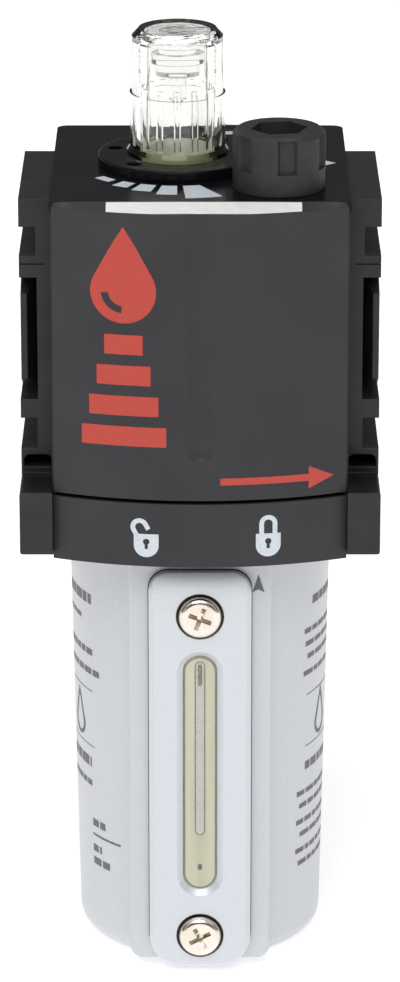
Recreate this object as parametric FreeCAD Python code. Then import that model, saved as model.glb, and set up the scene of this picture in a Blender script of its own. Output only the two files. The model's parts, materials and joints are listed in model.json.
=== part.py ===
"""Modular compressed-air lubricator. Millimetres, +Z up, +X along the air flow, front towards -Y.

The origin is the centre of the bowl's underside, on the bowl's axis.
"""
import FreeCAD, Part
import math
import os

from FreeCAD import Vector

# ---------------------------------------------------------------- driving dimensions
BODY_HALF_X = 32.8          # casting between its two clamp flanges
BODY_HALF_Y = 31.0
FLANGE_HALF_X = 40.0        # over the clamp flanges
FLANGE_HALF_Y = 20.8
FLANGE_BOTTOM = 118.0
FLANGE_TOP = 181.0
FOOT_HALF_Y = 35.0          # the two side blocks of the skirt
FOOT_INNER_X = 32.7
FOOT_BOTTOM = 103.2
FOOT_TOP = 117.6
SKIRT_BOTTOM = 101.9
ROOF_Z = 121.5              # roof of the bowl space
CASTING_TOP = 180.9

PANEL_HALF_X = 32.4         # grey covers and bands
PANEL_EDGE_Y = 33.0
PANEL_BULGE = 6.4
PANEL_WALL = 2.2
COVER_BOTTOM = 117.3
COVER_SHOULDER = 182.5      # where a cover's arched face turns into its sloping top edge
GROOVE_R = 5.0              # upright scoop down the middle of a cover
GROOVE_DEPTH = 0.85
GROOVE_LOW_Z = 129.0
BAND_BOTTOM = 101.7
BAND_TOP = 116.4
BAND_WALL = 1.6

CAP_HALF_X = 32.85
CAP_TOP = 183.9
CAP_PLATE_Z = 182.53        # underside of the cap's overhanging plate
CAP_REAR_ROUND = 2.5
PEG_R = 2.0                 # snap pegs that hold the cap
PEG_PLACES = ((-24, -24), (-24, 24), (24, 24))
LABEL_X = (-20.4, 22.1)
LABEL_THICK = 0.12

PORT_Z = 149.1
PORT_R = 9.9                # minor radius of the half-inch pipe thread
PORT_DEPTH = 19.0
PASSAGE_R = 9.2

BOWL_R0 = 28.04             # outer radius at the underside
BOWL_DRAFT = 0.01873        # radius gained per millimetre of height
BOWL_WALL = 2.4
BOWL_FLOOR = 3.2
BOWL_SHOULDER_Z = 106.9
BOWL_RIM_Z = 120.5
NECK_R = 28.0
NECK_BORE_R = 25.2
LUG_R = 33.2
LUG_Z = (107.25, 110.85)
LUG_ANGLE = 34.0
LUG_CENTRES = (90.0, 210.0, 330.0)
UNLOCK_ANGLE = 40.0
ENTRY_R = 30.6
CHANNEL_R = 33.8
CHANNEL_Z = (107.1, 111.0)
SEAL_BORE_R = 28.35

PAD_HALF_X = 16.0           # flat front pad of the bowl
PAD_Y = -30.05
PAD_Z = (2.3, 100.9)
BEZEL_HALF_X = 11.55
BEZEL_FACE_Y = -34.0
BEZEL_Z = (1.7, 97.8)
SLOT_HALF_X = 3.8
SLOT_Z = (21.1, 78.2)
GLASS_HALF_X = 7.2
GLASS_Z = (17.5, 81.8)
SCREW_Z = (9.9, 88.0)
SCREW_HEAD_R = 4.8          # M5 pan heads
SCREW_SEAT_R = 5.4
SCREW_SEAT_Y = -32.8
CROSS_TWIST = (-28.0, 21.0) # how far each cross recess is turned
SIGHT_HOLE_Z = (25.0, 75.5)

DOME_X = -5.0
DOME_R = 10.7
DOME_BASE_R = 11.35
DOME_TOP = 214.7
DOME_BORE_R = 8.4
SPIGOT_R = 12.4
SPIGOT_BORE_R = 12.45
RING_R = 17.8
RING_Z = (183.97, 186.3)
RING_HOLE_R = 1.7
RING_HOLE_PCD_R = 14.4
POINTER_ANGLE = 54.0        # from -X towards the front

PLUG_X = 17.3
PLUG_Y = -20.5
PLUG_R = 10.2
PLUG_Z = (183.97, 197.1)
PLUG_CHAMFER_Z = 196.2
PLUG_TURN = 10.0            # how far the flutes and the socket are turned from square
PLUG_STEM_R = 6.95
PLUG_BORE_R = 7.0
HEX_ACROSS_FLATS = 11.0
HEX_FLOOR_Z = 188.6
FLUTE_COUNT = 6
FLUTE_Z = (188.9, 196.4)
FLUTE_DEPTH = 1.15
FLUTE_MOUTH = 4.7
FLUTE_FLOOR = 3.1

SIPHON_X = -12.0
SIPHON_Y = 14.0
TUBE_R = 3.25
TUBE_BORE_R = 2.2

JET_X = -20.0
JET_Y = -4.0

FLAP_PIVOT = (0.6, 150.9)   # x, z of the flap's pin
UP = Vector(0, 0, 1)
ALONG_X = Vector(1, 0, 0)
ALONG_Y = Vector(0, 1, 0)


# ---------------------------------------------------------------- helpers
def box(x0, x1, y0, y1, z0, z1):
    """Block between two corners."""
    return Part.makeBox(x1 - x0, y1 - y0, z1 - z0, Vector(x0, y0, z0))


def post(radius, z0, z1, x=0.0, y=0.0):
    """Upright cylinder."""
    return Part.makeCylinder(radius, z1 - z0, Vector(x, y, z0), UP)


def taper(r0, r1, z0, z1, x=0.0, y=0.0):
    """Upright cone from radius r0 at z0 to r1 at z1."""
    return Part.makeCone(r0, r1, z1 - z0, Vector(x, y, z0), UP)


def rod_x(radius, x0, x1, y, z):
    """Cylinder along X."""
    return Part.makeCylinder(radius, x1 - x0, Vector(x0, y, z), ALONG_X)


def rod_y(radius, y0, y1, x, z):
    """Cylinder along Y."""
    return Part.makeCylinder(radius, y1 - y0, Vector(x, y0, z), ALONG_Y)


def drill(radius, start, end):
    """Cylinder between two points."""
    a = Vector(*start)
    b = Vector(*end)
    return Part.makeCylinder(radius, (b - a).Length, a, b - a)


def o_ring(major, minor, z, x=0.0, y=0.0):
    """Ring of round section about an upright axis."""
    return Part.makeTorus(major, minor, Vector(x, y, z), UP)


def prism(points, along):
    """Solid swept from a flat outline."""
    return Part.Face(Part.makePolygon(points + points[:1])).extrude(along)


def mirror_x(shape):
    return shape.mirror(Vector(0, 0, 0), ALONG_X)


def mirror_y(shape):
    return shape.mirror(Vector(0, 0, 0), ALONG_Y)


def joined(shapes):
    """One solid from touching or overlapping solids."""
    first = shapes[0]
    return first.fuse(shapes[1:]).removeSplitter()


def sector(radius, z0, z1, centre_deg, width_deg):
    """Pie slice about the bowl's axis."""
    slice_ = Part.makeCylinder(radius, z1 - z0, Vector(0, 0, z0), UP, width_deg)
    slice_.rotate(Vector(0, 0, 0), UP, centre_deg - width_deg / 2)
    return slice_


def bulged_wire(half_x, back_y, edge_y, bulge, z):
    """Outline with a straight back and an arched front, which faces -Y."""
    corners = [Vector(-half_x, -back_y, z), Vector(-half_x, -edge_y, z),
               Vector(half_x, -edge_y, z), Vector(half_x, -back_y, z)]
    crown = Vector(0, -edge_y - bulge, z)
    edges = [Part.makeLine(corners[0], corners[1]),
             Part.Arc(corners[1], crown, corners[2]).toShape(),
             Part.makeLine(corners[2], corners[3]),
             Part.makeLine(corners[3], corners[0])]
    return Part.Wire(edges)


def bulged_slab(half_x, back_y, edge_y, bulge, z0, z1):
    face = Part.Face(bulged_wire(half_x, back_y, edge_y, bulge, z0))
    return face.extrude(Vector(0, 0, z1 - z0))


def pillow_wire(half_x, edge_y, bulge, z):
    """Outline with straight sides and an equal arch front and back."""
    p = [Vector(-half_x, -edge_y, z), Vector(half_x, -edge_y, z),
         Vector(half_x, edge_y, z), Vector(-half_x, edge_y, z)]
    if bulge > 0:
        front = Part.Arc(p[0], Vector(0, -edge_y - bulge, z), p[1]).toShape()
        back = Part.Arc(p[2], Vector(0, edge_y + bulge, z), p[3]).toShape()
    else:
        front = Part.makeLine(p[0], p[1])
        back = Part.makeLine(p[2], p[3])
    return Part.Wire([front, Part.makeLine(p[1], p[2]), back, Part.makeLine(p[3], p[0])])


def pillow(half_x, edge_y, bulge, z0, z1):
    return Part.Face(pillow_wire(half_x, edge_y, bulge, z0)).extrude(Vector(0, 0, z1 - z0))


def rounded_plate(half_x, z0, z1, y0, y1, r_bottom, r_top):
    """Plate facing -Y with rounded lower and upper corners."""
    plate = box(-half_x, half_x, y0, y1, z0, z1)
    for radius, z in ((r_bottom, z0), (r_top, z1)):
        corners = [e for e in plate.Edges
                   if abs(e.Length - (y1 - y0)) < 1e-6 and abs(e.CenterOfMass.z - z) < 1e-6]
        plate = plate.makeFillet(radius, corners)
    return plate


def bowl_radius(z):
    return BOWL_R0 + BOWL_DRAFT * z


def edges_at_z(shape, z, tolerance=0.01):
    """Edges that lie wholly at one height."""
    return [e for e in shape.Edges
            if abs(e.BoundBox.ZMin - z) < tolerance and abs(e.BoundBox.ZMax - z) < tolerance]


# ---------------------------------------------------------------- housing
def clamp_flange():
    """Right-hand clamp flange, with its two clamp grooves, port pad and foot block."""
    flange = box(BODY_HALF_X - 2, FLANGE_HALF_X, -FLANGE_HALF_Y, FLANGE_HALF_Y,
                 FLANGE_BOTTOM, FLANGE_TOP)
    foot = box(FOOT_INNER_X, FLANGE_HALF_X, -FOOT_HALF_Y, FOOT_HALF_Y, FOOT_BOTTOM, FOOT_TOP)
    web = box(BODY_HALF_X - 2, FLANGE_HALF_X, -FLANGE_HALF_Y, FLANGE_HALF_Y,
              FOOT_TOP - 1, FLANGE_BOTTOM + 1)
    long_edges = [e for e in foot.Edges if e.Length > 2 * FOOT_HALF_Y - 1
                  and e.CenterOfMass.x > FLANGE_HALF_X - 1]
    foot = foot.makeFillet(0.6, long_edges)
    reach = FLANGE_HALF_Y + 1
    far = FLANGE_HALF_X + 1
    cuts = [box(36.3, far, -reach, reach, 168.1, 174.7),
            box(36.3, far, -reach, reach, 123.4, 130.5),
            box(39.6, far, -reach, reach, 166.0, 166.4),
            box(36.1, far, -reach, reach, 134.9, 163.1)]
    for side in (-1, 1):
        y0, y1 = sorted((side * reach, side * (FLANGE_HALF_Y - 0.4)))
        cuts.append(box(34.5, far, y0, y1, 166.0, 166.4))
        y0, y1 = sorted((side * reach, side * 12.0))
        pocket = box(33.2, 39.4, y0, y1, 118.4, 121.9)
        corners = [e for e in pocket.Edges if abs(e.Length - (y1 - y0)) < 1e-6]
        cuts.append(pocket.makeFillet(1.4, corners))
    flange = flange.cut(cuts)
    return joined([flange, foot, web, port_pad()])


def port_pad():
    """Raised port face: ends bevelled top and bottom, and undercut like a dovetail."""
    half_y = 19.5
    base_half_y = 14.0
    bevel = 2.6
    low, high = PORT_Z - 12.4, PORT_Z + 12.4
    pad = box(36.0, 39.8, -half_y, half_y, low, high)
    for side in (-1, 1):
        tip, base = side * (half_y + 0.1), side * base_half_y
        for z, inward in ((high + 0.05, -bevel), (low - 0.05, bevel)):
            corner = [Vector(35, tip, z + inward), Vector(35, tip, z), Vector(35, base, z)]
            pad = pad.cut(prism(corner, Vector(6, 0, 0)))
        undercut = [Vector(36.1, tip, low - 1), Vector(38.4, tip, low - 1),
                    Vector(36.1, base, low - 1)]
        pad = pad.cut(prism(undercut, Vector(0, 0, high - low + 2)))
    return pad


def bowl_socket():
    """Space in the skirt for the bowl's neck and bayonet lugs."""
    space = [post(ENTRY_R, SKIRT_BOTTOM - 1, CHANNEL_Z[1]), post(SEAL_BORE_R, CHANNEL_Z[1] - 1, ROOF_Z)]
    lead_in = taper(SEAL_BORE_R + 0.9, SEAL_BORE_R, CHANNEL_Z[1] - 0.01, CHANNEL_Z[1] + 1.2)
    space.append(lead_in)
    for centre in LUG_CENTRES:
        gap = centre - UNLOCK_ANGLE
        space.append(sector(CHANNEL_R, SKIRT_BOTTOM - 1, CHANNEL_Z[0] + 0.5, gap, LUG_ANGLE + 6))
        span = UNLOCK_ANGLE + LUG_ANGLE + 3
        space.append(sector(CHANNEL_R, CHANNEL_Z[0], CHANNEL_Z[1], centre - UNLOCK_ANGLE / 2, span))
    return space


def housing():
    core = box(-BODY_HALF_X, BODY_HALF_X, -BODY_HALF_Y, BODY_HALF_Y, SKIRT_BOTTOM, CASTING_TOP)
    skirt = pillow(BODY_HALF_X, PANEL_EDGE_Y - BAND_WALL, PANEL_BULGE, SKIRT_BOTTOM, BAND_TOP - 0.1)
    right = clamp_flange()
    body = joined([core, skirt, right, mirror_x(right)])
    cuts = bowl_socket()
    cuts.append(rod_x(PASSAGE_R, -FLANGE_HALF_X, FLANGE_HALF_X, 0, PORT_Z))
    for side in (-1, 1):
        mouth = side * 39.8
        inner = side * (39.8 - PORT_DEPTH)
        cuts.append(rod_x(PORT_R, min(mouth, inner), max(mouth, inner), 0, PORT_Z))
        direction = Vector(-side, 0, 0)
        cuts.append(Part.makeCone(PORT_R + 1.0, PORT_R, 1.0, Vector(mouth, 0, PORT_Z), direction))
    cuts += dome_and_feed_bores() + oil_and_air_drillings()
    cuts += [post(PEG_R + 0.05, CASTING_TOP - 4.3, CASTING_TOP + 1, x, y) for x, y in PEG_PLACES]
    # casting pockets behind the covers
    cuts.append(box(-28, -2, -BODY_HALF_Y - 1, -16, 124, 176))
    cuts.append(box(-28, -2, 19, BODY_HALF_Y + 1, 124, 176))
    cuts.append(box(2, 28, 19, BODY_HALF_Y + 1, 124, 176))
    return body.cut(cuts).removeSplitter()


def dome_and_feed_bores():
    return [post(SPIGOT_BORE_R, 164.0, CASTING_TOP + 1, DOME_X),
            post(13.6, 178.98, 180.02, DOME_X),
            post(7.05, PORT_Z, 165.0, DOME_X),
            post(PLUG_BORE_R, 169.0, CASTING_TOP + 1, PLUG_X, PLUG_Y)]


def oil_and_air_drillings():
    return [drill(3.3, (15.0, -17.8, 170.0), (11.0, -14.0, ROOF_Z - 1)),
            post(4.05, ROOF_Z - 1, 129.2, SIPHON_X, SIPHON_Y),
            post(1.5, 129.0, 171.0, SIPHON_X, SIPHON_Y),
            drill(1.5, (SIPHON_X, SIPHON_Y, 170.0), (-8.5, 8.0, 173.0)),
            post(2.5, ROOF_Z - 1, 127.0, JET_X, JET_Y),
            post(1.2, 126.0, PORT_Z - 5, JET_X, JET_Y)]


# ---------------------------------------------------------------- covers, bands and cap
def front_cover():
    """Arched moulded cover with a sloping top edge and a shallow central groove."""
    shell = bulged_slab(PANEL_HALF_X, BODY_HALF_Y + 0.1, PANEL_EDGE_Y, PANEL_BULGE,
                        COVER_BOTTOM, COVER_SHOULDER)
    hollow = bulged_slab(PANEL_HALF_X - PANEL_WALL, BODY_HALF_Y - 1, PANEL_EDGE_Y - PANEL_WALL,
                         PANEL_BULGE, COVER_BOTTOM + PANEL_WALL, COVER_SHOULDER - PANEL_WALL)
    in_front = box(-BODY_HALF_X, BODY_HALF_X, -PANEL_EDGE_Y - PANEL_BULGE - 1, -PANEL_EDGE_Y - 0.03,
                   COVER_SHOULDER - 1, CAP_TOP + 1)
    top_edge = cover_crown(0.0).common(in_front)
    return joined([shell, top_edge]).cut([hollow, cover_groove()])


def cover_crown(lift):
    """Slope from the arched shoulder of a cover up to the straight edge of the cap."""
    low = pillow_wire(PANEL_HALF_X, PANEL_EDGE_Y, PANEL_BULGE, COVER_SHOULDER + lift)
    high = pillow_wire(PANEL_HALF_X, PANEL_EDGE_Y, 0, CAP_TOP + lift)
    return Part.makeLoft([low, high], True, True)


def cover_groove():
    """Shallow scoop down the middle of a cover, with a round lower end."""
    centre_y = -(PANEL_EDGE_Y + PANEL_BULGE) + GROOVE_DEPTH - GROOVE_R
    channel = post(GROOVE_R, GROOVE_LOW_Z, CAP_TOP + 1, 0, centre_y)
    return channel.fuse(Part.makeSphere(GROOVE_R, Vector(0, centre_y, GROOVE_LOW_Z)))


def lock_band():
    """Grey band round the front of the skirt."""
    outer = bulged_slab(PANEL_HALF_X + 0.2, FLANGE_HALF_Y + 8, PANEL_EDGE_Y, PANEL_BULGE,
                        BAND_BOTTOM, BAND_TOP)
    skirt = pillow(BODY_HALF_X + 1, PANEL_EDGE_Y - BAND_WALL + 0.05, PANEL_BULGE,
                   BAND_BOTTOM - 1, BAND_TOP + 1)
    return outer.cut(skirt)


def top_cap():
    """Flat black cap: a deck on the casting, an overhanging plate and three snap pegs."""
    deck = box(-CAP_HALF_X, CAP_HALF_X, -BODY_HALF_Y, BODY_HALF_Y, FLANGE_TOP + 0.05, CAP_PLATE_Z + 0.1)
    plate = box(-CAP_HALF_X, CAP_HALF_X, -PANEL_EDGE_Y, PANEL_EDGE_Y, CAP_PLATE_Z, CAP_TOP)
    rear_corners = [e for e in plate.Edges if abs(e.Length - (CAP_TOP - CAP_PLATE_Z)) < 1e-6
                    and e.CenterOfMass.y > 0]
    plate = plate.makeFillet(CAP_REAR_ROUND, rear_corners)
    pegs = [post(PEG_R, CASTING_TOP - 4, CAP_PLATE_Z, x, y) for x, y in PEG_PLACES]
    cap = joined([deck, plate] + pegs)
    return cap.cut([post(DOME_BASE_R + 0.25, CASTING_TOP - 1, CAP_TOP + 1, DOME_X),
                    post(9.0, CASTING_TOP - 1, CAP_TOP + 1, PLUG_X, PLUG_Y)])


def label_strip():
    """Blank label that lies on the front cover's sloping top edge."""
    slope = cover_crown(LABEL_THICK).cut(cover_crown(0.0))
    return slope.common(box(LABEL_X[0], LABEL_X[1], -38.7, -33.5, COVER_SHOULDER, CAP_TOP + 1))


# ---------------------------------------------------------------- drip dome and feed
def adjust_ring():
    z0, z1 = RING_Z
    ring = post(RING_R, z0, z1, DOME_X)
    ring = ring.makeFillet(0.5, edges_at_z(ring, z1))
    a = math.radians(180 + POINTER_ANGLE)
    nub_at = RING_R - 0.1
    nub = post(0.7, z0, z1 - 0.5, DOME_X + nub_at * math.cos(a), nub_at * math.sin(a))
    ring = joined([ring, nub])
    cuts = [post(DOME_BASE_R + 0.05, z0 - 1, z1 + 1, DOME_X)]
    for angle in (48.0, -13.7, 228.0, 166.3):
        a = math.radians(180 + angle)
        x = DOME_X + RING_HOLE_PCD_R * math.cos(a)
        cuts.append(post(RING_HOLE_R, z0 - 1, z1 + 1, x, RING_HOLE_PCD_R * math.sin(a)))
    return ring.cut(cuts)


def sight_dome():
    """Clear dome: four recessed panels, ribs inside and a sealed, slotted spigot below."""
    chamfer_z = 212.6
    dome = joined([post(SPIGOT_R, 169.2, 178.9, DOME_X),
                   post(DOME_BASE_R, 178.8, 187.2, DOME_X),
                   taper(DOME_BASE_R, DOME_R, 187.2, 188.2, DOME_X),
                   post(DOME_R, 188.2, chamfer_z, DOME_X),
                   taper(DOME_R, 8.7, chamfer_z, DOME_TOP, DOME_X)])
    groove = post(SPIGOT_R + 1, 175.0, 177.4, DOME_X).cut(post(10.9, 174, 178, DOME_X))
    cuts = [post(DOME_BORE_R, 168, 200, DOME_X), taper(DOME_BORE_R, 7.4, 200, 211.5, DOME_X), groove,
            box(DOME_X - 11.3, DOME_X + 11.3, -1.6, 1.6, 169, 173)]
    for turn in range(4):
        panel = box(0, DOME_R + 2, -6.4, 6.4, 200.3, chamfer_z + 3)
        panel = panel.cut(post(DOME_R - 0.5, 200, DOME_TOP + 1))
        panel.rotate(Vector(0, 0, 0), UP, 90 * turn)
        panel.translate(Vector(DOME_X, 0, 0))
        cuts.append(panel)
    return dome.cut(cuts).fuse(dome_ribs()).removeSplitter()


def dome_ribs():
    """Upright half-round ribs on the wall of the dome's bore."""
    ribs = []
    for i in range(14):
        a = math.radians(360 * (i + 0.5) / 14)
        at = DOME_BORE_R - 0.1
        ribs.append(post(0.7, 188.3, 202.0, DOME_X + at * math.cos(a), at * math.sin(a)))
    return ribs


def drip_nozzle():
    """Stepped clear boss with the drip tip."""
    return joined([post(4.2, 209.6, 211.45, DOME_X),
                   post(5.8, 207.4, 209.7, DOME_X),
                   post(4.8, 204.6, 207.5, DOME_X),
                   post(1.9, 199.0, 204.7, DOME_X),
                   taper(0.7, 1.3, 196.2, 199.1, DOME_X)])


def drip_funnel():
    """Dish in the dome's foot that catches the drops."""
    dish = post(DOME_BORE_R - 0.02, 181.0, 187.5, DOME_X)
    return dish.cut([taper(1.4, 7.7, 182.4, 187.6, DOME_X), post(1.4, 180, 183, DOME_X)])


def dome_seal():
    return o_ring(11.66, 0.72, 176.2, DOME_X)


def dome_clip():
    """Internal retaining ring, open at the back, that holds the dome down."""
    clip = post(13.5, 179.0, 180.0, DOME_X).cut(post(11.8, 178, 181, DOME_X))
    return clip.cut(box(DOME_X - 2.5, DOME_X + 2.5, 5, 20, 178, 181))


def metering_needle():
    """Needle with two oil flats, a thread stretch, a cone tip and a driving bar."""
    stem = post(3.0, 162.0, 168.6, DOME_X)
    for side in (-1, 1):
        y0, y1 = sorted((side * 2.3, side * 4.0))
        stem = stem.cut(box(DOME_X - 4, DOME_X + 4, y0, y1, 161, 168.4))
    return joined([stem, taper(0.5, 1.9, 160.1, 162.1, DOME_X),
                   box(DOME_X - 11.0, DOME_X + 11.0, -1.5, 1.5, 168.5, 170.9)])


def feed_insert():
    """Brass insert with the needle's thread and seat, which drips into the venturi."""
    body = joined([post(7.0, 158.35, 164.1, DOME_X), post(12.3, 164.05, 167.6, DOME_X)])
    body = body.cut(post(8, 160.4, 162.2, DOME_X).cut(post(6.0, 160, 163, DOME_X)))
    return body.cut([post(3.05, 161.6, 168, DOME_X), post(2.4, 160.0, 161.7, DOME_X),
                     post(1.2, 158, 160.1, DOME_X)])


def feed_insert_seal():
    return o_ring(6.52, 0.5, 161.3, DOME_X)


# ---------------------------------------------------------------- venturi and by-pass
def venturi_insert():
    """Plug in the air passage with a small venturi, a by-pass window and the flap's ears."""
    x0, x1 = -9.0, -1.0
    throat_z = PORT_Z + 4.9
    plug = rod_x(PASSAGE_R - 0.05, x0, x1, 0, PORT_Z)
    ears = [box(x1 - 0.5, 2.2, 6.0, 7.4, 149.2, 152.6), box(x1 - 0.5, 2.2, -7.4, -6.0, 149.2, 152.6)]
    plug = joined([plug] + ears)
    mid = (x0 + x1) / 2
    cones = [Part.makeCone(3.4, 1.6, mid - x0, Vector(x0, 0, throat_z), ALONG_X),
             Part.makeCone(1.6, 3.0, x1 - mid, Vector(mid, 0, throat_z), ALONG_X)]
    window = box(x0 - 1, x1 + 1, -4.4, 4.4, 143.2, 149.0)
    pivot_x, pivot_z = FLAP_PIVOT
    pin_hole = rod_y(0.8, -8, 8, pivot_x, pivot_z)
    relief = box(-1.05, 3, -5.95, 5.95, 149.0, 153.0)
    drip = post(1.2, throat_z, 160, DOME_X)
    return plug.cut(cones + [window, pin_hole, relief, drip])


def bypass_flap():
    pivot_x, pivot_z = FLAP_PIVOT
    blade = box(-0.85, 0.35, -5.0, 5.0, 142.2, pivot_z)
    barrel = rod_y(1.35, -5.8, 5.8, pivot_x, pivot_z)
    return joined([blade, barrel]).cut(rod_y(0.85, -6, 6, pivot_x, pivot_z))


def flap_pin():
    return rod_y(0.8, -7.4, 7.4, FLAP_PIVOT[0], FLAP_PIVOT[1])


# ---------------------------------------------------------------- fill plug and bowl pressure
def fill_plug():
    """Fluted filler plug with a hexagon socket."""
    z0, z1 = PLUG_Z
    head = joined([post(PLUG_R, z0, PLUG_CHAMFER_Z, PLUG_X, PLUG_Y),
                   taper(PLUG_R, 9.14, PLUG_CHAMFER_Z, z1, PLUG_X, PLUG_Y),
                   post(8.9, 182.0, z0 + 1, PLUG_X, PLUG_Y),
                   post(PLUG_STEM_R, 171.0, 183.0, PLUG_X, PLUG_Y)])
    return head.cut([plug_flute(360.0 * i / FLUTE_COUNT) for i in range(FLUTE_COUNT)] + [hex_socket()])


def plug_flute(angle):
    """One flute in the plug's side: drafted walls, a flat floor and a square lower end."""
    z0, z1 = FLUTE_Z
    floor = PLUG_R - FLUTE_DEPTH
    spread = (FLUTE_MOUTH - FLUTE_FLOOR) / FLUTE_DEPTH
    far = 2 * PLUG_R - floor
    half_far = FLUTE_FLOOR / 2 + spread * (far - floor) / 2
    flute = prism([Vector(floor, -FLUTE_FLOOR / 2, z0), Vector(far, -half_far, z0),
                   Vector(far, half_far, z0), Vector(floor, FLUTE_FLOOR / 2, z0)],
                  Vector(0, 0, z1 - z0))
    flute.rotate(Vector(0, 0, 0), UP, PLUG_TURN - 90.0 + angle)
    flute.translate(Vector(PLUG_X, PLUG_Y, 0))
    return flute


def hex_socket():
    corner = HEX_ACROSS_FLATS / math.sqrt(3)
    angles = [math.radians(PLUG_TURN + 60 * i) for i in range(6)]
    points = [Vector(PLUG_X + corner * math.cos(a), PLUG_Y + corner * math.sin(a), HEX_FLOOR_Z)
              for a in angles]
    return prism(points, Vector(0, 0, PLUG_Z[1] + 1 - HEX_FLOOR_Z))


def fill_plug_seal():
    return o_ring(7.62, 0.5, 181.48, PLUG_X, PLUG_Y)


def pressure_jet():
    """Brass jet that lets inlet air into the bowl."""
    jet = post(2.5, ROOF_Z, 126.9, JET_X, JET_Y)
    return jet.cut(post(0.4, 120, 128, JET_X, JET_Y))


# ---------------------------------------------------------------- siphon
def siphon_fitting():
    """Barbed check-valve fitting that hangs from the roof of the bowl space."""
    fitting = joined([post(4.0, 119.0, 129.0, SIPHON_X, SIPHON_Y),
                      post(6.5, 117.5, 119.8, SIPHON_X, SIPHON_Y),
                      post(2.1, 112.0, 117.6, SIPHON_X, SIPHON_Y)])
    return fitting.cut([post(2.5, 122.0, 128.4, SIPHON_X, SIPHON_Y),
                        post(1.3, 111, 122.1, SIPHON_X, SIPHON_Y),
                        post(1.0, 128, 130, SIPHON_X, SIPHON_Y)])


def siphon_ball():
    return Part.makeSphere(2.3, Vector(SIPHON_X, SIPHON_Y, 124.4))


def siphon_tube():
    tube = post(TUBE_R, 10.0, 117.4, SIPHON_X, SIPHON_Y)
    return tube.cut(post(TUBE_BORE_R, 9, 118, SIPHON_X, SIPHON_Y))


def siphon_strainer():
    """Cup-shaped strainer with rows of slots, pushed over the tube's lower end."""
    cup = post(4.8, 6.0, 16.0, SIPHON_X, SIPHON_Y)
    cuts = [post(TUBE_R + 0.02, 10.0, 17, SIPHON_X, SIPHON_Y), post(2.6, 7.2, 10.5, SIPHON_X, SIPHON_Y)]
    for i in range(8):
        slot = box(0, 6, -0.5, 0.5, 7.4, 9.6)
        slot.rotate(Vector(0, 0, 0), UP, 45 * i)
        slot.translate(Vector(SIPHON_X, SIPHON_Y, 0))
        cuts.append(slot)
    return cup.cut(cuts)


def splash_baffle():
    """Disc under the roof that keeps oil mist from the air drillings."""
    disc = post(24.0, 119.85, 121.45)
    return disc.cut([post(4.1, 119, 122, SIPHON_X, SIPHON_Y), post(4.4, 119, 122, 11.2, -14.2),
                     post(1.8, 119, 122, JET_X, JET_Y), post(5.0, 119, 122)])


# ---------------------------------------------------------------- bowl and sight glass
def bowl():
    """Metal bowl: drafted cup, front pad, screw bosses, neck and bayonet lugs."""
    outer = taper(bowl_radius(0), bowl_radius(BOWL_SHOULDER_Z), 0, BOWL_SHOULDER_Z)
    outer = outer.makeFillet(4.5, edges_at_z(outer, 0))
    top_edge = edges_at_z(outer, BOWL_SHOULDER_Z)
    outer = outer.makeChamfer(0.8, top_edge)
    pad = rounded_plate(PAD_HALF_X, PAD_Z[0], PAD_Z[1], PAD_Y, -12.0, 3.0, 0.8)
    front_edges = [e for e in pad.Edges if abs(e.BoundBox.YMin - PAD_Y) < 1e-6
                   and abs(e.BoundBox.YMax - PAD_Y) < 1e-6]
    pad = pad.makeFillet(0.7, front_edges)
    shell = joined([outer, pad, post(NECK_R, BOWL_SHOULDER_Z - 1, BOWL_RIM_Z)])
    for centre in LUG_CENTRES:
        lug = sector(LUG_R, LUG_Z[0], LUG_Z[1], centre, LUG_ANGLE)
        shell = shell.fuse(lug)
    inner_top = bowl_radius(103.0) - BOWL_WALL
    hollow = taper(bowl_radius(0) - BOWL_WALL, inner_top, BOWL_FLOOR, 103.0)
    hollow = hollow.makeFillet(3.0, edges_at_z(hollow, BOWL_FLOOR))
    shell = shell.cut([hollow, post(NECK_BORE_R, 102.0, BOWL_RIM_Z + 1)])
    bosses = [rod_y(5.0, -27.5, -19.5, 0, z) for z in SCREW_Z]
    shell = joined([shell] + bosses)
    cuts = [rod_y(2.5, -31, -20.6, 0, z) for z in SCREW_Z]
    cuts += [rod_y(1.2, -31, -20, 0, z) for z in SIGHT_HOLE_Z]
    cuts.append(rounded_plate(7.4, GLASS_Z[0] - 0.2, GLASS_Z[1] + 0.2, PAD_Y - 1, -28.2, 3, 3))
    cuts.append(post(NECK_R + 1, 114.2, 117.0).cut(post(26.3, 113, 118)))
    return shell.cut(cuts).removeSplitter()


def bowl_seal():
    return o_ring(27.27, 0.95, 115.6)


def sight_bezel():
    """Raised frame round the sight glass, with a sloping upper end."""
    z0, z1 = BEZEL_Z
    frame = rounded_plate(BEZEL_HALF_X, z0, z1, BEZEL_FACE_Y, PAD_Y, 7.5, 4.5)
    rim = [e for e in frame.Edges if abs(e.BoundBox.YMin - BEZEL_FACE_Y) < 1e-6
           and abs(e.BoundBox.YMax - BEZEL_FACE_Y) < 1e-6]
    frame = frame.makeChamfer(1.1, rim)
    slope = [Vector(-13, BEZEL_FACE_Y - 0.1, z1 - 4.2), Vector(-13, BEZEL_FACE_Y - 0.1, z1 + 1),
             Vector(-13, BEZEL_FACE_Y + 2.4, z1 + 1)]
    cuts = [prism(slope, Vector(26, 0, 0)),
            slot_solid(SLOT_HALF_X, SLOT_Z[0], SLOT_Z[1], BEZEL_FACE_Y - 1, PAD_Y + 1), flared_slot(),
            rounded_plate(7.4, GLASS_Z[0] - 0.2, GLASS_Z[1] + 0.2, -31.7, PAD_Y + 1, 3, 3)]
    for z in SCREW_Z:
        cuts.append(rod_y(2.75, -36, -29, 0, z))
        cuts.append(rod_y(SCREW_SEAT_R, -36, SCREW_SEAT_Y, 0, z))
    return frame.cut(cuts)


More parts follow.
